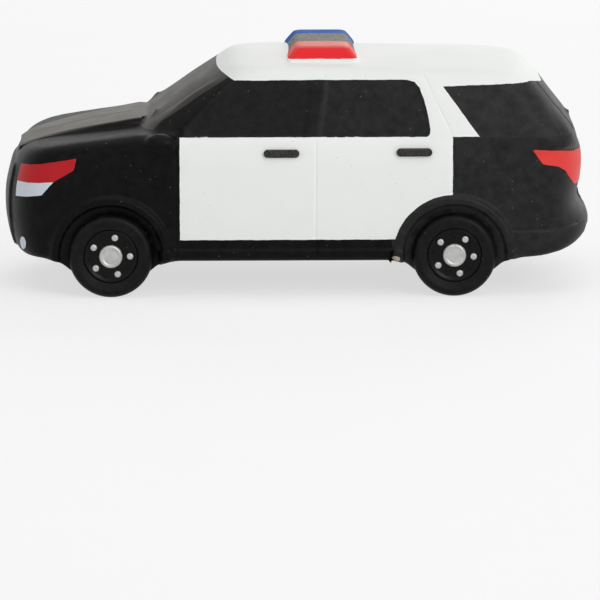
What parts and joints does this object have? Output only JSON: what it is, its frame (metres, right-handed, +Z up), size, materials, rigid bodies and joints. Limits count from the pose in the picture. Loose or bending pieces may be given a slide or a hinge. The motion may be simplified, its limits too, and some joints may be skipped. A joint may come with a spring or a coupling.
{
  "type": "foam squeeze toy of a police sport utility vehicle",
  "caption": "Moulded foam squeeze toy shaped as a police sport utility vehicle, painted black and white, with a red, grey and blue light bar and fixed wheels.",
  "frame": {"origin": "on the floor, under the middle of the toy's length and width", "axes": "+X forward, +Y to the vehicle's left, +Z up"},
  "size_m": [0.11, 0.048, 0.0455],
  "materials": {
    "black_paint": "satin black paint sprayed on moulded polyurethane foam",
    "white_paint": "matte white paint sprayed on moulded polyurethane foam",
    "window_paint": "satin black paint on moulded polyurethane foam, no real glass",
    "grey_paint": "rough speckled grey paint on moulded polyurethane foam",
    "red_paint": "red paint on moulded polyurethane foam",
    "blue_paint": "blue paint on moulded polyurethane foam",
    "pale_paint": "pale grey-blue paint on moulded polyurethane foam",
    "silver_paint": "silver paint on moulded polyurethane foam",
    "tyre_paint": "matte black paint on moulded polyurethane foam"
  },
  "bodies": {
    "root": {"body": "black_paint", "bumper_front": "black_paint", "bumper_rear": "black_paint", "door_front_left": "white_paint", "door_front_right": "white_paint", "door_rear_left": "white_paint", "door_rear_right": "white_paint", "fog_lamp_left": "pale_paint", "fog_lamp_right": "pale_paint", "grille": "black_paint", "handle_front_left": "black_paint", "handle_front_right": "black_paint", "handle_rear_left": "black_paint", "handle_rear_right": "black_paint", "headlamp_pale_left": "pale_paint", "headlamp_pale_right": "pale_paint", "headlamp_red_left": "red_paint", "headlamp_red_right": "red_paint", "hood": "black_paint", "light_bar_blue": "blue_paint", "light_bar_centre": "grey_paint", "light_bar_red": "red_paint", "mirror_left": "black_paint", "mirror_right": "black_paint", "pillar_rear_left": "white_paint", "pillar_rear_right": "white_paint", "rear_window": "window_paint", "rim_front_left": "silver_paint", "rim_front_right": "silver_paint", "rim_rear_left": "silver_paint", "rim_rear_right": "silver_paint", "roof": "white_paint", "sill_left": "black_paint", "sill_right": "black_paint", "tail_lamp_left": "red_paint", "tail_lamp_right": "red_paint", "tailgate": "black_paint", "tyre_front_left": "tyre_paint", "tyre_front_right": "tyre_paint", "tyre_rear_left": "tyre_paint", "tyre_rear_right": "tyre_paint", "window_front_left": "window_paint", "window_front_right": "window_paint", "window_quarter_left": "window_paint", "window_quarter_right": "window_paint", "window_rear_left": "window_paint", "window_rear_right": "window_paint", "windshield": "window_paint"}
  },
  "joints": []
}
